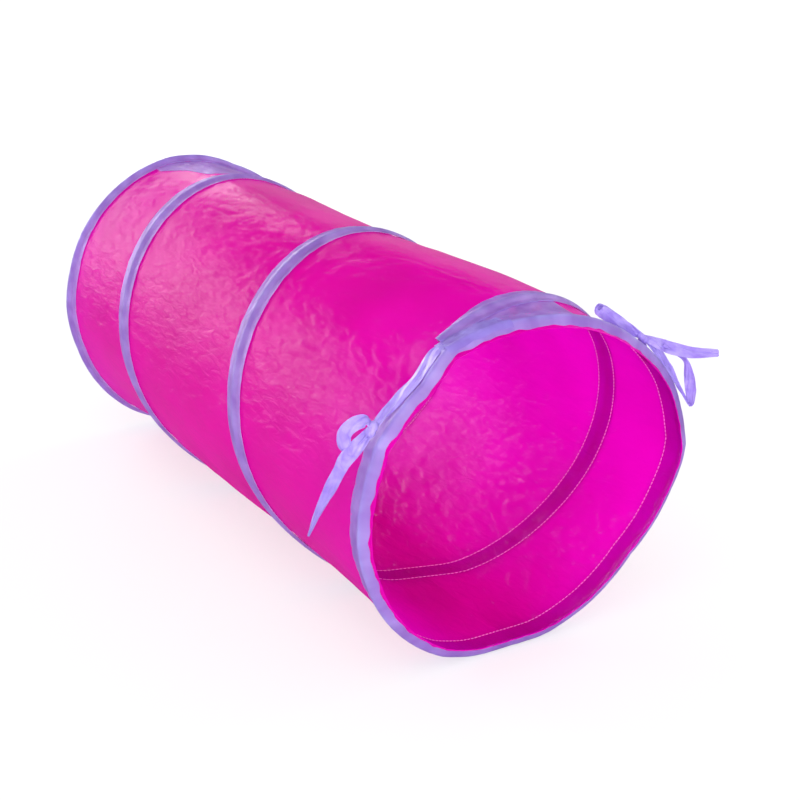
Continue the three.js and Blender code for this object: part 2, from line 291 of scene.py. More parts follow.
def crumple(angle, y, across, along, twist, seed):
    # Noise round the tunnel with creases `across` wide round it and `along` long on its
    # length, which climb `twist` degrees a metre.
    bearing = np.radians(angle + twist * y)
    girth = tunnel["radius"] / across
    spots = np.stack([np.cos(bearing) * girth, y / along + seed, np.sin(bearing) * girth], -1)
    return np.array([noise.noise(Vector(spot)) for spot in spots.reshape(-1, 3)])


# Fabrics and spring steel, from three effects that they share
def newGroup(name, inputs, outputs):
    group = bpy.data.node_groups.new(name, "ShaderNodeTree")
    for label, kind, value in inputs:
        socket = group.interface.new_socket(label, in_out="INPUT", socket_type=kind)
        if value is not None:
            socket.default_value = value
    for label, kind in outputs:
        group.interface.new_socket(label, in_out="OUTPUT", socket_type=kind)
    start = group.nodes.new("NodeGroupInput")
    end = group.nodes.new("NodeGroupOutput")
    return group, start, end


def addMath(tree, operation, first, second=None, third=None):
    node = tree.nodes.new("ShaderNodeMath")
    node.operation = operation
    for socket, value in zip(node.inputs, (first, second, third)):
        if value is None:
            continue
        if isinstance(value, (int, float)):
            socket.default_value = value
        else:
            tree.links.new(value, socket)
    return node.outputs[0]


def addRange(tree, value, span, result):  # the value's span, turned into the result's
    node = tree.nodes.new("ShaderNodeMapRange")
    for label, limit in zip(("From Min", "From Max", "To Min", "To Max"), (*span, *result)):
        node.inputs[label].default_value = limit
    tree.links.new(value, node.inputs["Value"])
    return node


def weaveGroup():  # plain weave: crossing threads, by the cut's own metres
    group, start, end = newGroup(
        "weave",
        [("Vector", "NodeSocketVector", None), ("Thread", "NodeSocketFloat", 0.0004)],
        [("Height", "NodeSocketFloat")])
    links = group.links
    split = group.nodes.new("ShaderNodeSeparateXYZ")
    links.new(start.outputs["Vector"], split.inputs[0])
    turns = []
    for axis in "XY":
        share = addMath(group, "DIVIDE", split.outputs[axis], start.outputs["Thread"])
        turns.append(addMath(group, "SINE", addMath(group, "MULTIPLY", share, math.pi)))
    cross = addMath(group, "MULTIPLY", turns[0], turns[1])
    links.new(addMath(group, "MULTIPLY_ADD", cross, 0.5, 0.5), end.inputs["Height"])
    return group


def creaseGroup():  # soft creases, long one way, with finer ones over them
    group, start, end = newGroup(
        "creases",
        [("Vector", "NodeSocketVector", None), ("Across", "NodeSocketFloat", 120),
         ("Along", "NodeSocketFloat", 40), ("Detail", "NodeSocketFloat", 4),
         ("Warp", "NodeSocketFloat", 0.4)],
        [("Height", "NodeSocketFloat")])
    links = group.links
    scale = group.nodes.new("ShaderNodeCombineXYZ")
    links.new(start.outputs["Across"], scale.inputs[0])
    links.new(start.outputs["Along"], scale.inputs[1])
    links.new(start.outputs["Along"], scale.inputs[2])
    stretch = group.nodes.new("ShaderNodeVectorMath")
    stretch.operation = "MULTIPLY"
    links.new(start.outputs["Vector"], stretch.inputs[0])
    links.new(scale.outputs[0], stretch.inputs[1])
    folds = group.nodes.new("ShaderNodeTexNoise")
    folds.inputs["Scale"].default_value = 1
    folds.inputs["Roughness"].default_value = 0.55
    links.new(start.outputs["Detail"], folds.inputs["Detail"])
    links.new(start.outputs["Warp"], folds.inputs["Distortion"])
    links.new(stretch.outputs[0], folds.inputs["Vector"])
    links.new(folds.outputs[0], end.inputs["Height"])
    return group


def driftGroup():  # slow change from one tone of the cloth to another
    group, start, end = newGroup(
        "toneDrift",
        [("Vector", "NodeSocketVector", None), ("Scale", "NodeSocketFloat", 12),
         ("Light", "NodeSocketColor", (1, 1, 1, 1)), ("Dark", "NodeSocketColor", (0, 0, 0, 1))],
        [("Color", "NodeSocketColor")])
    links = group.links
    cloud = group.nodes.new("ShaderNodeTexNoise")
    cloud.inputs["Detail"].default_value = 2
    links.new(start.outputs["Vector"], cloud.inputs["Vector"])
    links.new(start.outputs["Scale"], cloud.inputs["Scale"])
    contrast = addRange(group, cloud.outputs[0], (0.35, 0.65), (0, 1))
    mix = group.nodes.new("ShaderNodeMix")
    mix.data_type = "RGBA"
    links.new(contrast.outputs[0], mix.inputs["Factor"])
    links.new(start.outputs["Dark"], mix.inputs[6])
    links.new(start.outputs["Light"], mix.inputs[7])
    links.new(mix.outputs[2], end.inputs["Color"])
    return group


groups = {"weave": weaveGroup(), "creases": creaseGroup(), "toneDrift": driftGroup()}


def placeGroup(tree, name, **values):
    node = tree.nodes.new("ShaderNodeGroup")
    node.node_tree = groups[name]
    for key, value in values.items():
        socket = node.inputs[key[0].upper() + key[1:]]
        if isinstance(value, bpy.types.NodeSocket):
            tree.links.new(value, socket)
        else:
            socket.default_value = value
    return node.outputs[0]


softened = 0.4  # roughness of the fabrics' sheen and coat


def makeFabric(name, look):
    material = bpy.data.materials.new(name)
    material.use_nodes = True
    tree = material.node_tree
    shader = tree.nodes["Principled BSDF"]
    cut = tree.nodes.new("ShaderNodeUVMap")
    cut.uv_map = "flat"
    flat = cut.outputs[0]
    color = placeGroup(tree, "toneDrift", vector=flat, scale=look["driftScale"],
                       light=(*look["light"], 1), dark=(*look["dark"], 1))
    weave = placeGroup(tree, "weave", vector=flat, thread=look["thread"])
    creases = placeGroup(tree, "creases", vector=flat, across=look["creases"][0],
                         along=look["creases"][1], detail=look["creases"][2],
                         warp=look["creases"][3])
    tree.links.new(color, shader.inputs["Base Color"])
    fold = tree.nodes.new("ShaderNodeBump")
    fold.inputs["Strength"].default_value = 1
    fold.inputs["Distance"].default_value = look["creaseDepth"]
    if "calm" in look:  # smoother along the top, where the cloth hangs taut
        middle, near, far, least = look["calm"]
        split = tree.nodes.new("ShaderNodeSeparateXYZ")
        tree.links.new(flat, split.inputs[0])
        aside = addMath(tree, "ABSOLUTE", addMath(tree, "SUBTRACT", split.outputs[0], middle))
        strength = addRange(tree, aside, (near, far), (least, 1))
        tree.links.new(strength.outputs[0], fold.inputs["Strength"])
    tree.links.new(creases, fold.inputs["Height"])
    threads = tree.nodes.new("ShaderNodeBump")
    threads.inputs["Strength"].default_value = 1
    threads.inputs["Distance"].default_value = look["threadDepth"]
    tree.links.new(weave, threads.inputs["Height"])
    tree.links.new(fold.outputs[0], threads.inputs["Normal"])
    tree.links.new(threads.outputs[0], shader.inputs["Normal"])
    rough = addRange(tree, creases, (0, 1), look["roughness"])
    tree.links.new(rough.outputs[0], shader.inputs["Roughness"])
    shader.inputs["Specular IOR Level"].default_value = look["specular"]
    shader.inputs["Specular Tint"].default_value = (*look["tint"], 1)
    shader.inputs["Sheen Weight"].default_value = look["sheen"]
    shader.inputs["Sheen Roughness"].default_value = softened
    shader.inputs["Coat Weight"].default_value = look.get("coat", 0)
    shader.inputs["Coat Roughness"].default_value = softened
    if look["sheer"]:  # light comes through the thin cloth
        tint = tree.nodes.new("ShaderNodeVectorMath")
        tint.operation = "MULTIPLY"
        tint.inputs[1].default_value = look["through"]
        tree.links.new(color, tint.inputs[0])
        behind = tree.nodes.new("ShaderNodeBsdfTranslucent")
        tree.links.new(tint.outputs[0], behind.inputs["Color"])
        both = tree.nodes.new("ShaderNodeMixShader")
        both.inputs[0].default_value = look["sheer"]
        tree.links.new(shader.outputs[0], both.inputs[1])
        tree.links.new(behind.outputs[0], both.inputs[2])
        tree.links.new(both.outputs[0], tree.nodes["Material Output"].inputs["Surface"])
    return material


def makeSteel(name, look):
    material = bpy.data.materials.new(name)
    material.use_nodes = True
    tree = material.node_tree
    shader = tree.nodes["Principled BSDF"]
    where = tree.nodes.new("ShaderNodeTexCoord")
    grain = placeGroup(tree, "creases", vector=where.outputs["Object"], across=look["grain"],
                       along=look["grain"], detail=look["grainDetail"], warp=0.0)
    color = placeGroup(tree, "toneDrift", vector=where.outputs["Object"],
                       scale=look["driftScale"], light=(*look["light"], 1),
                       dark=(*look["dark"], 1))
    tree.links.new(color, shader.inputs["Base Color"])
    shader.inputs["Metallic"].default_value = 1
    rough = addRange(tree, grain, (0, 1), look["roughness"])
    tree.links.new(rough.outputs[0], shader.inputs["Roughness"])
    return material


# Thread and depths are in metres. "creases" holds how many there are across and along a metre,
# their detail and their warp. "calm" holds the middle of the smooth top, its two distances on
# either side, and the share of creases that is left there. "sheer" is how much of the look is
# light from behind, and "through" tints that light.
finishes = {
    "cloth": makeFabric("magentaTaffeta", {
        "light": (0.7, 0.001, 0.315), "dark": (0.65, 0.0008, 0.285), "driftScale": 9,
        "thread": 0.00035, "threadDepth": 0.00001, "creases": (150, 55, 7, 0.9),
        "creaseDepth": 0.0021, "roughness": (0.05, 0.12), "specular": 0.12, "sheen": 0.0,
        "coat": 0.06, "tint": (1, 0.8, 1), "sheer": 0.66, "through": (1.5, 34, 3.05),
        "calm": (0.403, 0.06, 0.13, 0.35),
    }),
    "tape": makeFabric("lavenderTape", {
        "light": (0.46, 0.38, 0.8), "dark": (0.38, 0.26, 0.7), "driftScale": 60,
        "thread": 0.0005, "threadDepth": 0.00003, "creases": (160, 260, 4, 0.6),
        "creaseDepth": 0.0009, "roughness": (0.22, 0.4), "specular": 0.6, "sheen": 0.05,
        "tint": (1, 1, 1), "sheer": 0.58, "through": (1.9, 2.3, 1.4),
    }),
    # The ribbon's two tones drift at random and are set far apart: partly its own dye, partly
    # painted shade for its satin creases.
    "ribbon": makeFabric("lavenderRibbon", {
        "light": (0.48, 0.36, 0.92), "dark": (0.34, 0.22, 0.8), "driftScale": 90,
        "thread": 0.0004, "threadDepth": 0.00003, "creases": (160, 260, 4, 0.8),
        "creaseDepth": 0.0011, "roughness": (0.22, 0.38), "specular": 0.6, "sheen": 0.05,
        "tint": (1, 1, 1), "sheer": 0.12, "through": (1, 1, 1),
    }),
    "thread": makeFabric("pinkThread", {
        "light": (1.0, 0.3, 0.85), "dark": (0.95, 0.22, 0.8), "driftScale": 200,
        "thread": 0.0003, "threadDepth": 0.00004, "creases": (900, 2500, 2, 0.0),
        "creaseDepth": 0.0001, "roughness": (0.45, 0.6), "specular": 0.4, "sheen": 0.2,
        "tint": (1, 1, 1), "sheer": 0.35, "through": (1.4, 0.6, 1.3),
    }),
    "spring_steel": makeSteel("springSteel", {
        "light": (0.62, 0.63, 0.65), "dark": (0.45, 0.46, 0.48), "driftScale": 60,
        "grain": 900, "grainDetail": 3, "roughness": (0.25, 0.5),
    }),
}
print("finishes: made", len(finishes))


def dress(piece, body, slot, node):
    piece.data.materials.clear()
    piece.data.materials.append(finishes[slot])
    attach(piece, body)
    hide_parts(node)


def finish(piece, body, slot, node):  # dressed, attached to its body, and given its own mesh
    dress(piece, body, slot, node)
    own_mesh(piece)


# The cloth tube: one rectangle of taffeta, rolled and closed along the floor
cloth = {
    "thickness": 0.0006,
    "columns": 280,
    "rows": 160,
    "bags": [  # millimetres, width round the tunnel, length along it, climb, seed
        (0.5, 0.04, 0.1, 60, 3),
        (0.34, 0.013, 0.036, -50, 11),
        (0.24, 0.0075, 0.02, 30, 23),
    ],
    "calmTop": (95, 42, 0.6),  # where the bags are shallower: middle, spread and share lost
    "calmUnderTape": (0.009, 0.022),  # distances between which the bags begin
    "calmUnderBinding": (0.019, 0.034),
    "pucker": 0.25,  # millimetres
    "puckerReach": 0.014,
    "puckerPeriods": (0.011, 0.0157, 0.0231),
    "puckerSlant": 0.4,  # how far round they lean along the tunnel
    "puckerSeed": 5,
    "puckerAtTape": (0.0095, 0.011, 0.013),  # where they begin, are deepest and are whole
    "puckerAtBinding": (0.0155, 0.016, 0.02),
    "lip": 0.0012,  # the cloth's edge turns out beyond the front binding
    "rearLip": 0.6,  # share of it at the rear
    "lipWidth": 0.0022,
    "fray": 0.0005,
    "frayWaves": (31, 47, 73),  # round the tunnel
    "frayFade": 8,
    "fraySeed": 9,
}


def tapeDistance(angle, y):  # along the tunnel, to the nearest turn of the coil
    behind = coilLine(angle)
    turns = np.round((behind - y) / coilPitch)
    onCoil = angle + 360 * turns
    turns = np.where(onCoil < tunnel["coilStart"], turns + 1, turns)
    turns = np.where(onCoil > tunnel["coilEnd"], turns - 1, turns)
    return np.abs(behind - coilPitch * turns - y)


def rimDistance(angle, y):  # to the nearer ring
    return np.minimum(np.abs(y - frontRing(angle)), np.abs(y))


def clothHeight(angle, y):
    toTape, toRim = tapeDistance(angle, y), rimDistance(angle, y)
    calm = ease(toTape, *cloth["calmUnderTape"]) * ease(toRim, *cloth["calmUnderBinding"])
    bags = sum(size * milli * crumple(angle, y, across, along, climb, seed)
               for size, across, along, climb, seed in cloth["bags"])
    middle, spread, share = cloth["calmTop"]
    calm = calm * (1 - share * bell(apart(angle, middle), spread))
    arc = np.radians(angle) * tunnel["radius"]
    pull = 0
    for distance, place in ((toTape, cloth["puckerAtTape"]), (toRim, cloth["puckerAtBinding"])):
        begin, deepest, whole = place
        pull = pull + bell(distance - deepest, cloth["puckerReach"]) * ease(distance, begin, whole)
    pucker = waves(arc + cloth["puckerSlant"] * y, cloth["puckerPeriods"], cloth["puckerSeed"])
    return bags * calm + pucker * cloth["pucker"] * milli * pull


def makeCloth():
    around = arcOf(360)
    piece = flatStrip("tunnelCloth", around, tunnel["length"], cloth["columns"], cloth["rows"])
    cut = points(piece)
    angle = tunnel["footMiddle"] + degreesAlong(cut[:, 0])
    share = cut[:, 1] / tunnel["length"] + 0.5
    front = frontEdge(angle)
    fray = cloth["fray"] * waves(angle, [360 / count for count in cloth["frayWaves"]],
                                 cloth["fraySeed"])
    frayed = front + fray * share ** cloth["frayFade"]
    y = tunnel["rearEdge"] + share * (frayed - tunnel["rearEdge"])
    height = clothHeight(angle, y)
    height = height + cloth["lip"] * ease(-(y - front), -cloth["lipWidth"], 0)
    height = height + cloth["rearLip"] * cloth["lip"] * ease(
        y - tunnel["rearEdge"], -cloth["lipWidth"], 0)
    movePoints(piece, tubePoint(angle, y, height))
    closeSeam(piece)
    thicken(piece, cloth["thickness"])
    smooth(piece)
    finish(piece, "rear_end", "cloth", "tunnel_skin")
    return piece


tunnelCloth = makeCloth()
print("cloth: rolled,", len(tunnelCloth.data.polygons), "faces")


# Wires, rolled from a strip: a ring at each end and the coil between them
wires = {
    "radius": 0.0009,
    "sides": 8,
    "ringHeight": 0.0019,
    "coilHeight": 0.0012,
    "columnsPerTurn": 120,
    "ringGap": 0.002,  # between a ring's two ends, inside its sleeve
}
sleeves = {"radius": 0.0016, "wall": 0.0004, "length": 0.014, "sides": 16}


def makeWire(name, line, start, turn, height):
    columns = round(wires["columnsPerTurn"] * turn / 360)
    piece = flatStrip(name, arcOf(turn), 2 * math.pi * wires["radius"], columns, wires["sides"])
    cut = points(piece)
    angle = start + degreesAlong(cut[:, 0])
    bearing = -cut[:, 1] / wires["radius"]
    places = tubePoint(angle, line(angle), height + wires["radius"] * np.sin(bearing))
    places[:, 1] += wires["radius"] * np.cos(bearing)
    movePoints(piece, places)
    closeSeam(piece)
    bpy.ops.object.mode_set(mode="EDIT")
    bpy.ops.mesh.select_mode(type="EDGE")
    bpy.ops.mesh.select_all(action="DESELECT")
    bpy.ops.mesh.select_non_manifold(extend=False, use_wire=False, use_boundary=True,
                                     use_multi_face=False, use_non_contiguous=False,
                                     use_verts=False)
    bpy.ops.mesh.edge_face_add()
    bpy.ops.mesh.select_all(action="SELECT")
    bpy.ops.mesh.normals_make_consistent(inside=False)
    bpy.ops.mesh.select_mode(type="VERT")
    bpy.ops.object.mode_set(mode="OBJECT")
    smooth(piece, angle=60)
    return piece


rings = {  # joint: the angle at which a ring's two ends meet
    "rear": {"line": rearRing, "joint": 31.6, "body": "rear_end"},
    "front": {"line": frontRing, "joint": 90, "body": "front_end"},
}

for end, ring in rings.items():
    half = degreesAlong(wires["ringGap"] / 2)
    wire = makeWire(end + "RingWire", ring["line"], ring["joint"] + half, 360 - 2 * half,
                    wires["ringHeight"])
    finish(wire, ring["body"], "spring_steel", end + "_ring_wire")

coilWire = makeWire("coilWire", coilLine, tunnel["coilStart"],
                    tunnel["coilEnd"] - tunnel["coilStart"], wires["coilHeight"])
finish(coilWire, "rear_end", "spring_steel", "coil_wire")

for end, ring in rings.items():
    bpy.ops.object.select_all(action="DESELECT")
    bpy.ops.mesh.primitive_cylinder_add(vertices=sleeves["sides"], radius=sleeves["radius"],
                                        depth=sleeves["length"], end_fill_type="NOTHING")
    sleeve = named(end + "WireSleeve")
    thicken(sleeve, sleeves["wall"])
    middle = tubePoint(ring["joint"], ring["line"](ring["joint"]), wires["ringHeight"])
    ahead = tubePoint(ring["joint"] + 1, ring["line"](ring["joint"] + 1), wires["ringHeight"])
    turned = Vector((0, 0, 1)).rotation_difference(Vector(ahead - middle)).to_matrix().to_4x4()
    sleeve.data.transform(Matrix.Translation(Vector(middle)) @ turned)
    smooth(sleeve)
    finish(sleeve, ring["body"], "spring_steel", end + "_wire_sleeve")
print("wires: rings, coil and sleeves")


# Tape over the coil and the binding over each ring
tape = {
    "thickness": 0.0003,
    "width": 0.02,
    "flange": 0.0005,  # height of a top side that lies on the cloth
    "columnsPerTurn": 380,
    "rows": 16,
    "edgeInset": 0.0015,  # from the cloth's edge to a binding's outer side
    "gap": 0.0003,  # between the coil's tape and a binding
    "narrowing": (815, 842),  # the coil's tape draws in to its front end
    "endLoss": 0.75,  # share of its rear half that it loses there
    "tucked": 0.001,  # how far a patch reaches under the tapes beside it
    "foldedEnd": (101, 21),  # where the coil's tape ends, turned down over the front rim
    "foldedPast": 0.002,  # how far it reaches past the binding's inner side
    "foldedShort": 0.001,  # and how far it stays behind the outer one
    "rearInner": [(60, 15.5), (88, 11.5), (104, 8.5), (138, 9), (165, 13), (185, 15.5)],
    "ridgeEdge": 2.4,  # how steeply the ridge over the wire falls
    "bulge": 0.0005,
    "bulgeSpreads": (2.6, 1.1),  # its place and width, in spreads of the ridge
    "rippleLap": 0.78,  # one turn's length for the ripples
    "wanderWaves": (21, 34, 55),  # of the sides, in a lap
    "gatherWaves": (61, 83, 117, 40),
    "gatherSlant": 0.35,  # how far they lean across the tape
    "gatherOnRidge": 0.35,  # share of the gathers that is left there
    "gatherSpreads": (0.2, 1.6),  # where they rise to the whole, in spreads of the ridge
}
# The ridge over the wire has a crown and a spread. Gathers are in millimetres deep, and the
# sides wander in metres.
bands = {
    "coilTape": {"crown": 0.003, "spread": 0.004, "gather": 0.25, "wander": 0.0004, "seed": 31},
    "rearRimBinding": {"crown": 0.004, "spread": 0.0034, "gather": 0.35, "wander": 0.0004,
                       "seed": 41},
    "frontRimBinding": {"crown": 0.004, "spread": 0.0034, "gather": 0.6, "wander": 0.0007,
                        "seed": 51},
    "foldedEnd": {"crown": 0.005, "spread": 0.00408, "gather": 0.9, "wander": 0.0004,
                  "seed": 55},
}


def bandHeight(across, crown, spread):  # low sides and a ridge over the wire
    ridge = (crown - tape["flange"]) * np.exp(-(np.abs(across) / spread) ** tape["ridgeEdge"])
    place, width = tape["bulgeSpreads"]
    bulge = tape["bulge"] * bell(np.abs(across) - place * spread, width * spread)
    return tape["flange"] + ridge + bulge


def makeBand(name, line, start, turn, rearReach, frontReach, slant=1):
    band, lap = bands[name], tape["rippleLap"]
    columns = round(tape["columnsPerTurn"] * turn / 360)
    piece = flatStrip(name, arcOf(turn), tape["width"], columns, tape["rows"])
    cut = points(piece)
    angle = start + degreesAlong(cut[:, 0])
    arc = cut[:, 0]
    if turn == 360:
        arc = arc / arcOf(360) * lap  # so that the ripples meet
    share = cut[:, 1] / tape["width"] + 0.5  # 0 at the rear side, 1 at the front
    rear, front = rearReach(angle), frontReach(angle)
    across = -rear + share * (rear + front)
    edges = np.abs(2 * share - 1)
    wander = waves(arc, [lap / count for count in tape["wanderWaves"]], band["seed"])
    wander = band["wander"] * wander * edges ** 3
    height = bandHeight(across, band["crown"], band["spread"])
    ripple = waves(arc + tape["gatherSlant"] * across,
                   [lap / count for count in tape["gatherWaves"]], band["seed"] + 1)
    low, high = (share * band["spread"] for share in tape["gatherSpreads"])
    left = tape["gatherOnRidge"]
    gathers = band["gather"] * milli * (0.5 + 0.5 * ripple)
    height = height + gathers * (left + (1 - left) * ease(np.abs(across), low, high))
    movePoints(piece, tubePoint(angle, line(angle) - across * slant + wander, height))
    closeSeam(piece)
    thicken(piece, tape["thickness"])
    smooth(piece)
    return piece


bindingOuter = tunnel["ringInset"] - tape["edgeInset"]
bindingInner = tape["width"] - bindingOuter


def constantly(value):
    return lambda angle: value + 0 * np.asarray(angle)


def rearInner(angle):  # the rear binding is folded over further along its upper left
    return onTable(tape["rearInner"], angle, 360)


def tapeRear(angle):
    room = (-bindingInner - tape["gap"] - coilLine(angle)) / coilSlant
    narrow = 1 - tape["endLoss"] * ease(angle, *tape["narrowing"])
    return np.minimum(tape["width"] / 2 * narrow, room)


def tapeFront(angle):
    room = (coilLine(angle) - frontRing(angle) - bindingInner - tape["gap"]) / coilSlant
    return np.minimum(tape["width"] / 2, room)


coilTape = makeBand("coilTape", coilLine, tunnel["coilStart"],
                    tunnel["coilEnd"] - tunnel["coilStart"], tapeRear, tapeFront, coilSlant)
finish(coilTape, "rear_end", "tape", "coil_tape")

rearBinding = makeBand("rearRimBinding", rearRing, tunnel["footMiddle"], 360,
                       constantly(bindingOuter), rearInner)
finish(rearBinding, "rear_end", "tape", "rear_rim_binding")
frontBinding = makeBand("frontRimBinding", frontRing, tunnel["footMiddle"], 360,
                        constantly(bindingInner), constantly(bindingOuter))
foldedEnd = makeBand("foldedEnd", frontRing, *tape["foldedEnd"],
                     constantly(bindingInner + tape["foldedPast"]),
                     constantly(bindingOuter - tape["foldedShort"]))
choose(frontBinding, foldedEnd)
bpy.ops.object.join()
finish(frontBinding, "front_end", "tape", "front_rim_binding")
print("tapes: coil tape and both bindings")


# Patches between a binding and the coil's tape. A table's row: an angle, and how far across the
# patch reaches there, in thousandths of the way from its near side to its far side
patches = {
    "rows": 14,
    "columnsPerDegree": 1.2,
    "sunk": 0.0002,  # below the top side of the tapes
    "ripplePeriods": (0.013, 0.021),
    "rear": [(5, 1000), (78, 1000), (96, 780), (100, 420), (108, 120)],
    "front": [(792, 1000), (829, 1000)],
}


def makePatch(name, table, near, far, seed):
    start, turn = table[0][0], table[-1][0] - table[0][0]
    piece = flatStrip(name, arcOf(turn), tape["width"],
                      round(turn * patches["columnsPerDegree"]), patches["rows"])
    cut = points(piece)
    angle = start + degreesAlong(cut[:, 0])
    share = cut[:, 1] / tape["width"] + 0.5
    fill = onTable(table, angle)
    rear, front = near(angle), far(angle)
    y = rear + share * fill * (front - rear)
    ripple = waves(cut[:, 0] + y, patches["ripplePeriods"], seed)
    height = tape["flange"] - patches["sunk"] + patches["sunk"] * (0.5 + 0.5 * ripple)
    movePoints(piece, tubePoint(angle, y, height))
    closeSeam(piece)
    thicken(piece, tape["thickness"])
    smooth(piece)
    return piece


rearPatch = makePatch(
    "rearJointPatch", patches["rear"], lambda angle: tape["tucked"] - rearInner(angle),
    lambda angle: coilLine(angle) + tapeRear(angle) * coilSlant - tape["tucked"], 61)
finish(rearPatch, "rear_end", "tape", "rear_joint_patch")
frontPatch = makePatch(
    "frontJointPatch", patches["front"],
    lambda angle: coilLine(angle) - tapeFront(angle) * coilSlant + tape["tucked"],
    lambda angle: frontRing(angle) + bindingInner - tape["tucked"], 62)
finish(frontPatch, "front_end", "tape", "front_joint_patch")
print("patches: both")


# Rows of stitches, modelled as one stitch and repeated
stitches = {
    "length": 0.0028,
    "step": 0.0031,
    "thickness": 0.0006,
    "width": 0.0009,
    "inset": 0.0015,  # from a tape's side
    "inner": -0.00115,  # middle of the thread under the cloth
    "outer": 0.0006,  # and over the tape
    "trim": 10,  # degrees by which a row is shorter than the coil
}


def oneStitch(name):
    bpy.ops.object.select_all(action="DESELECT")
    bpy.ops.mesh.primitive_uv_sphere_add(segments=6, ring_count=4, radius=0.5)
    piece = named(name)
    bpy.ops.object.mode_set(mode="EDIT")
    bpy.ops.mesh.select_all(action="SELECT")
    bpy.ops.transform.resize(
        value=(stitches["length"], stitches["width"], stitches["thickness"]))
    bpy.ops.transform.translate(value=(stitches["step"] / 2, 0, 0))
    bpy.ops.object.mode_set(mode="OBJECT")
    return piece


def makeRow(name, line, start, turn):  # as thread under the cloth and over the tape
    count = round(arcOf(turn) / stitches["step"])
    step = arcOf(turn) / count
    rows = []
    for side in ("inner", "outer"):
        piece = oneStitch(name + side)
        repeat = piece.modifiers.new("repeat", "ARRAY")
        repeat.use_relative_offset = False
        repeat.use_constant_offset = True
        repeat.constant_offset_displace = (step, 0, 0)
        repeat.count = count
        choose(piece)
        bpy.ops.object.modifier_apply(modifier=repeat.name)
        keepFlatMap(piece)
        cut = points(piece)
        angle = start + degreesAlong(cut[:, 0])
        movePoints(piece, tubePoint(angle, line(angle) - cut[:, 1],
                                    stitches[side] + cut[:, 2]))
        rows.append(piece)
    choose(*rows)
    bpy.ops.object.join()
    piece = named(name)
    smooth(piece, angle=80)
    return piece


def rearSeam(angle):
    return coilLine(angle) + (tapeRear(angle) - stitches["inset"]) * coilSlant


def frontSeam(angle):
    return coilLine(angle) - (tapeFront(angle) - stitches["inset"]) * coilSlant


def rearRimSeam(angle):
    return stitches["inset"] - rearInner(angle)


def frontRimSeam(angle):
    return frontRing(angle) + bindingInner - stitches["inset"]


coilTurn = tunnel["coilEnd"] - tunnel["coilStart"] - stitches["trim"]
rearRow = makeRow("coilStitchesRearRow", rearSeam, tunnel["coilStart"] + stitches["trim"],
                  coilTurn)
finish(rearRow, "rear_end", "thread", "coil_stitches_rear_row")
frontRow = makeRow("coilStitchesFrontRow", frontSeam, tunnel["coilStart"], coilTurn)
finish(frontRow, "rear_end", "thread", "coil_stitches_front_row")
rearRimRow = makeRow("rearRimStitches", rearRimSeam, tunnel["footMiddle"], 360)
finish(rearRimRow, "rear_end", "thread", "rear_rim_stitches")
frontRimRow = makeRow("frontRimStitches", frontRimSeam, tunnel["footMiddle"], 360)
finish(frontRimRow, "front_end", "thread", "front_rim_stitches")
print("stitches: four rows")


# Bows. A route's row: along the rim from the knot, out from the binding, back from the rim,
# all in millimetres, then the turn of the ribbon's face in degrees and its width
bows = {
    "height": 0.005,  # of a route's zero, over the cloth
    "back": 0.0155,  # and behind the cloth's edge
    "thickness": 0.0005,
    "width": 0.01,
    "steps": 16,
    "rows": 12,
    "foldedLength": 0.2,  # share of its depth that a bow keeps when the tunnel is folded
    "curl": 1.5,  # millimetres, as the folds
    "curlPeriods": (1.7, 2.9, 4.3),
    "folds": 0.6,
    "foldPeriods": (0.5, 0.31, 0.77),
    "foldSlant": 0.3,
    "ribbonSeed": 70,
    "knotBack": -3,
    "knotCuts": 14,
    "knotPinch": (0.16, 0.25),  # its depth and spread, as shares of the knot
    "knotCreases": 0.07,
    "knotPeriods": (0.9, 0.53, 1.7),
    "knotSlant": 3,
    "knotSeed": 7,
    "left": {
        "angle": 151,
        "knot": (12, 8, 7),
        "routes": {
            "lead": [(-67, -3.9, 1.5, 0, 8), (-56, -3.2, 1, 0, 10.5), (-40, -2.8, 0.5, 0, 10.5),
                     (-24, -2.2, 0.5, -5, 10), (-10, 0, 0, -10, 7.5), (0, 4, -3, -10, 5)],
            "loop": [(0, 4, -3, -30, 5), (-3, 8.5, 0, -45, 8.5), (1, 13.5, 2, -50, 9),
                     (8, 15.5, 3, -55, 9), (15, 12, 3, -50, 8.5), (13, 6.5, 1, -40, 7),
                     (3, 4, -3, -30, 5)],
            "tail": [(0, 4, -3, -20, 6), (11, 7, -3, -35, 9.5), (21, 11, 0, -50, 9.5),
                     (29, 12, 2, -58, 8), (40, 13, 6, -50, 8), (59, 12.5, 18, -45, 4.8),
                     (80, 14, 31, -35, 1.3)],
        },
    },
    "right": {
        "angle": 45,
        "knot": (10, 7, 5.5),
        "routes": {
            "lead": [(-22, -3.2, 0, 0, 9), (-14, -3.2, 0, 0, 9), (-5, 1, 0, 0, 8),
                     (0, 3.5, -2, 0, 4)],
            "loop": [(0, 3.5, -2, 70, 4), (12, 2.5, 1, 75, 7), (25, 2, 4, 80, 8),
                     (34, 2.5, 7, 80, 8), (36, 3.5, 10, 75, 7.5), (27, 4.5, 11, 65, 6.5),
                     (14, 4.5, 8, 50, 5.5), (2, 4, -1, 60, 4)],
            "tail": [(0, 3.5, -2, 60, 4), (-11, 7, -6, 60, 8), (-19, 11, -9, 60, 9.5),
                     (-32, 22, -12, 65, 8), (-43, 41, -14, 70, 5)],
            "sling": [(0, 3.5, -2, 50, 4), (-20, 4, -3, 60, 8.5), (-36, 4, -4, 70, 6),
                      (-52, 4.5, -5, 80, 3), (-67, 7, -10, 60, 3), (-56, 9.5, -12, 40, 7.5),
                      (-45, 12, -12, 30, 7.5), (-32, 14, -11, 40, 3), (-14, 8, -7, 50, 4)],
        },
    },
}


def rimPoint(knotAngle, along, out, back):
    angle = knotAngle + degreesAlong(along * milli)
    return tubePoint(angle, frontEdge(angle) + bows["back"] + back * milli,
                     bows["height"] + out * milli)


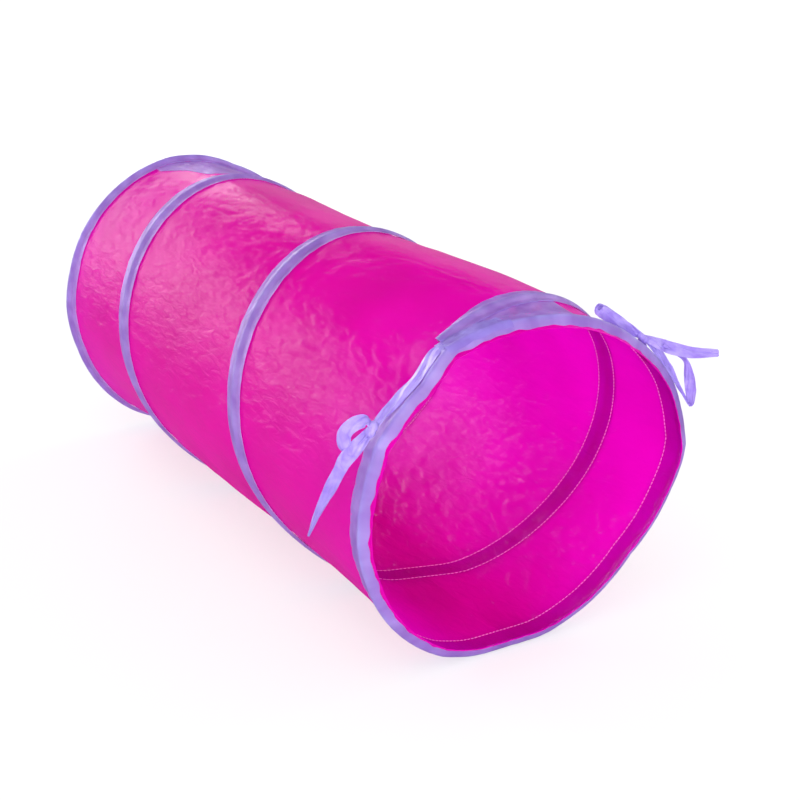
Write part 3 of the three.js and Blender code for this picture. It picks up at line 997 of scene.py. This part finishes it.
def splinePoint(table, place):  # a smooth curve through the rows
    last = len(table) - 1
    row = np.clip(np.floor(place).astype(int), 0, last - 1)
    t = (place - row)[:, None]
    padded = np.vstack([2 * table[0] - table[1], table, 2 * table[-1] - table[-2]])
    a, b, c, d = (padded[row + step] for step in range(4))
    return 0.5 * (2 * b + (c - a) * t + (2 * a - 5 * b + 4 * c - d) * t ** 2
                  + (3 * b - a - 3 * c + d) * t ** 3)


def makeRibbon(name, knotAngle, route, seed):
    rows = np.array(route, float)
    count = len(rows) - 1
    centre = np.array([rimPoint(knotAngle, *row[:3]) for row in rows])
    length = np.linalg.norm(np.diff(centre, axis=0), axis=1).sum()
    piece = flatStrip(name, length, bows["width"], count * bows["steps"], bows["rows"])
    cut = points(piece) * (count / length, 1 / bows["width"], 1)
    middle = splinePoint(centre, cut[:, 0])
    nudge = 0.02  # of a step of the route, to either side, for its direction
    ahead = splinePoint(centre, np.minimum(cut[:, 0] + nudge, count))
    behind = splinePoint(centre, np.maximum(cut[:, 0] - nudge, 0))
    tangent = ahead - behind
    tangent /= np.linalg.norm(tangent, axis=1)[:, None]
    side = np.array([0, 1, 0]) - tangent * tangent[:, 1:2]
    side /= np.linalg.norm(side, axis=1)[:, None]
    face = np.cross(tangent, side)
    turn, width = np.moveaxis(splinePoint(rows[:, 3:], cut[:, 0]), -1, 0)
    turn = np.radians(turn)[:, None]
    across = side * np.cos(turn) + face * np.sin(turn)
    over = face * np.cos(turn) - side * np.sin(turn)
    share = cut[:, 1]
    curl = waves(cut[:, 0], bows["curlPeriods"], seed) * bows["curl"] * (1 - (2 * share) ** 2)
    folds = waves(share + bows["foldSlant"] * cut[:, 0], bows["foldPeriods"], seed + 1)
    places = (middle + across * (share * width * milli)[:, None]
              + over * milli * (curl + bows["folds"] * folds)[:, None])
    movePoints(piece, places)
    thicken(piece, bows["thickness"], 0)
    return piece


def makeKnot(name, knotAngle, size):  # size: along the rim, towards the front, out from it
    bpy.ops.object.select_all(action="DESELECT")
    bpy.ops.mesh.primitive_cube_add(size=milli)
    piece = named(name)
    bpy.ops.object.mode_set(mode="EDIT")
    bpy.ops.mesh.select_all(action="SELECT")
    bpy.ops.mesh.subdivide(number_cuts=bows["knotCuts"], smoothness=1)
    bpy.ops.object.mode_set(mode="OBJECT")
    ball = points(piece)
    ball /= np.linalg.norm(ball, axis=1)[:, None]
    length, depth, height = size
    pinched, spread = bows["knotPinch"]
    pinch = 1 - pinched * bell(ball[:, 0], spread)
    creases = waves(ball[:, 1] * bows["knotSlant"] + ball[:, 0], bows["knotPeriods"],
                    bows["knotSeed"])
    creases = 1 + bows["knotCreases"] * creases
    ball = ball * (pinch * creases)[:, None] * np.array([length, depth, height]) / 2
    angle = math.radians(knotAngle)
    along = np.array([-math.sin(angle), 0, math.cos(angle)])
    out = np.array([math.cos(angle), 0, math.sin(angle)])
    centre = rimPoint(knotAngle, 0, height / 2, bows["knotBack"])
    movePoints(piece, centre + milli * (
        ball[:, 0:1] * along + ball[:, 1:2] * np.array([0, 1, 0]) + ball[:, 2:3] * out))
    keepFlatMap(piece)
    return piece


def makeBow(end):
    bow = bows[end]
    parts = [makeKnot(end + "Knot", bow["angle"], bow["knot"])]
    for seed, (name, route) in enumerate(bow["routes"].items(), bows["ribbonSeed"]):
        parts.append(makeRibbon(end + name, bow["angle"], route, seed))
    choose(*parts)
    bpy.ops.object.join()
    piece = named(end + "Tie")
    smooth(piece)
    dress(piece, "front_end", "ribbon", end + "_tie")
    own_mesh(piece)


makeBow("left")
makeBow("right")
print("bows: both tied")


# Studio: white floor and horizon, a wide panel behind and soft lamps on both sides
studio = {
    "floorSize": 24,
    "floorColor": (0.93, 0.93, 0.93),
    "floorShade": 0.4,  # how much of its own light and shade the seen floor keeps
    "mirroredFloorShade": 0.45,  # and how much of it the cloth mirrors: the rest is painted shade, a floor darker in reflections than it is lit
    "floorGlow": (0.62, 0.9),  # near the tunnel and far away
    "floorNear": (0.7, 2.5),  # distances between which the glow changes
    "fill": 0.46,  # even light from all round
    "horizonTop": (6, 15),  # degrees between which the mirrored horizon fades
    "ceiling": 0.04,  # what is left of it overhead
    "panel": {"azimuth": -11, "elevation": 13, "distance": 3, "size": (3.7, 1.3),
              "radiance": 6.5},
    "leftLamp": {"azimuth": 218, "elevation": 50, "distance": 2.6, "size": (2, 2),
                 "radiance": 1.9},
    "rightLamp": {"azimuth": 85, "elevation": 30, "distance": 2.4, "size": (1.8, 1.4),
                  "radiance": 2.6},
    "frontLamp": {"azimuth": 204, "elevation": 14, "distance": 2.6, "size": (1.4, 1),
                  "radiance": 8},
}


def addBlend(tree, share, first, second):  # share 0 gives the first
    mix = tree.nodes.new("ShaderNodeMix")
    for socket, value in zip((0, 2, 3), (share, first, second)):
        if isinstance(value, (int, float)):
            mix.inputs[socket].default_value = value
        else:
            tree.links.new(value, mix.inputs[socket])
    return mix.outputs[0]


def addSeen(tree):  # the rays that the camera sends, and those that mirror or pass clear glass
    path = tree.nodes.new("ShaderNodeLightPath")
    clear = addMath(tree, "SUBTRACT", path.outputs["Is Transmission Ray"],
                    path.outputs["Is Diffuse Ray"])
    mirrored = addMath(tree, "MAXIMUM", path.outputs["Is Glossy Ray"], clear)
    return path.outputs["Is Camera Ray"], mirrored


def makeFloor():
    bpy.ops.object.select_all(action="DESELECT")
    bpy.ops.mesh.primitive_plane_add(size=studio["floorSize"])
    floor = named("studioFloor")
    material = bpy.data.materials.new("paleFloor")
    material.use_nodes = True
    tree = material.node_tree
    shader = tree.nodes["Principled BSDF"]
    shader.inputs["Base Color"].default_value = (*studio["floorColor"], 1)
    shader.inputs["Roughness"].default_value = 0.9
    shader.inputs["Specular IOR Level"].default_value = 0
    glow = tree.nodes.new("ShaderNodeEmission")
    where = tree.nodes.new("ShaderNodeTexCoord")
    away = tree.nodes.new("ShaderNodeVectorMath")
    away.operation = "LENGTH"
    tree.links.new(where.outputs["Object"], away.inputs[0])
    rise = addRange(tree, away.outputs["Value"], studio["floorNear"], studio["floorGlow"])
    strength = addMath(tree, "DIVIDE", rise.outputs[0], 1 - studio["floorShade"])
    tree.links.new(strength, glow.inputs["Strength"])
    pick = tree.nodes.new("ShaderNodeMixShader")
    seen, mirrored = addSeen(tree)
    tree.links.new(addMath(tree, "MULTIPLY", seen, 1 - studio["floorShade"]), pick.inputs[0])
    tree.links.new(shader.outputs[0], pick.inputs[1])
    tree.links.new(glow.outputs[0], pick.inputs[2])
    # Painted shade: rays that mirror or pass clear glass see the floor darkened towards black.
    dim = tree.nodes.new("ShaderNodeMixShader")
    dark = tree.nodes.new("ShaderNodeEmission")
    dark.inputs["Strength"].default_value = 0
    tree.links.new(addMath(tree, "MULTIPLY", mirrored, 1 - studio["mirroredFloorShade"]), dim.inputs[0])
    tree.links.new(pick.outputs[0], dim.inputs[1])
    tree.links.new(dark.outputs[0], dim.inputs[2])
    tree.links.new(dim.outputs[0], tree.nodes["Material Output"].inputs["Surface"])
    floor.data.materials.append(material)


def makeWorld():
    world = bpy.data.worlds.new("studioWorld")
    bpy.context.scene.world = world
    world.use_nodes = True
    world.cycles.sampling_method = "NONE"
    tree = world.node_tree
    sky = tree.nodes["Background"]
    sky.inputs["Color"].default_value = (1, 1, 1, 1)
    where = tree.nodes.new("ShaderNodeTexCoord")
    split = tree.nodes.new("ShaderNodeSeparateXYZ")
    tree.links.new(where.outputs["Generated"], split.inputs[0])
    horizon = [math.sin(math.radians(angle)) for angle in studio["horizonTop"]]
    fade = addRange(tree, split.outputs["Z"], horizon, (1, studio["ceiling"]))
    fade.interpolation_type = "SMOOTHSTEP"
    seen, mirrored = addSeen(tree)
    light = addBlend(tree, mirrored, studio["fill"], fade.outputs[0])
    tree.links.new(addBlend(tree, seen, light, 1.0), sky.inputs["Strength"])


def makeLamp(name):
    lamp = studio[name]
    azimuth, elevation = (math.radians(lamp[key]) for key in ("azimuth", "elevation"))
    toLamp = Vector((math.sin(azimuth) * math.cos(elevation),
                     math.cos(azimuth) * math.cos(elevation), math.sin(elevation)))
    middle = Vector((0, -tunnel["length"] / 2, tunnel["axisHeight"]))
    bpy.ops.object.light_add(type="AREA", location=middle + toLamp * lamp["distance"])
    light = bpy.context.object
    light.name = name
    light.rotation_euler = (-toLamp).to_track_quat("-Z", "Y").to_euler()
    light.data.shape = "RECTANGLE"
    light.data.size, light.data.size_y = lamp["size"]
    area = light.data.size * light.data.size_y
    light.data.energy = lamp["radiance"] * math.pi * area


makeFloor()
makeWorld()
for name in ("panel", "leftLamp", "rightLamp", "frontLamp"):
    makeLamp(name)
bpy.context.scene.view_settings.view_transform = "Standard"
print("studio: floor and light")
